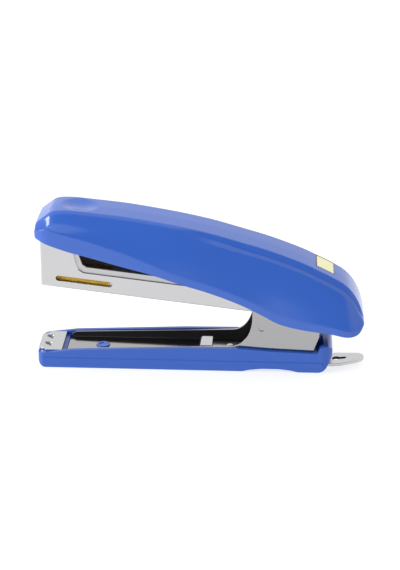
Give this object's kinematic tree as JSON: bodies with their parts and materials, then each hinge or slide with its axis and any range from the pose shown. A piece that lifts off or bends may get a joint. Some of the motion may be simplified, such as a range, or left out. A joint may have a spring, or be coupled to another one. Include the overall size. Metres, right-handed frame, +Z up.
{
  "type": "stapler",
  "caption": "Compact hand stapler: hinged plastic handle over a steel magazine, with a sprung pusher, steel base channel, plastic base and rear staple remover.",
  "frame": {"origin": "middle of the footprint, on the surface the stapler stands on", "axes": "+Z up, -X towards the nose where the staple leaves, +Y across the stapler"},
  "size_m": [0.1124, 0.026, 0.0567],
  "materials": {
    "blue_plastic": "gloss",
    "nickel_steel": "nickel plated",
    "satin_steel": "satin",
    "staple_brass": "satin",
    "label": "smooth film"
  },
  "bodies": {
    "base": {"base_shell": "blue_plastic", "base_channel": "nickel_steel", "anvil_plate": "nickel_steel", "channel_stud": "blue_plastic", "return_spring": "nickel_steel", "spring_rivet": "nickel_steel", "staple_remover": "nickel_steel", "remover_rivet": "nickel_steel", "hinge_pin": "nickel_steel", "pin_clips": "satin_steel"},
    "magazine": {"magazine_housing": "nickel_steel", "staple_track": "satin_steel", "staple_strip": "staple_brass", "guide_rod": "nickel_steel", "rod_holder": "satin_steel", "hinge_bush": "satin_steel"},
    "pusher": {"pusher": "nickel_steel", "pusher_spring": "satin_steel"},
    "handle": {"handle_cover": "blue_plastic", "cover_label": "label", "handle_arm": "satin_steel", "driver_blade": "satin_steel", "blade_rivets": "nickel_steel", "handle_spring": "satin_steel", "handle_spring_rivet": "nickel_steel", "cover_studs": "blue_plastic"}
  },
  "joints": [
    {"name": "magazine_tilt", "type": "hinge", "parent": "base", "child": "magazine", "pos_m": [0.0339, 0, 0.0217], "axis": [0, 1, 0], "range_deg": [-14.5, 0], "stiffness_Nm_per_rad": 0.4, "springref_deg": 11.46, "deforming": ["return_spring"]},
    {"name": "handle_tilt", "type": "hinge", "parent": "magazine", "child": "handle", "pos_m": [0.0339, 0, 0.0217], "axis": [0, 1, 0], "range_deg": [-3.8, 28], "stiffness_Nm_per_rad": 1.5, "springref_deg": 0.29, "deforming": ["handle_spring"]},
    {"name": "pusher_slide", "type": "slide", "parent": "magazine", "child": "pusher", "axis": [0.9933, 0, -0.1158], "range_m": [0, 0.027], "stiffness_N_per_m": 20, "springref_m": -0.02, "deforming": ["pusher_spring"]}
  ]
}
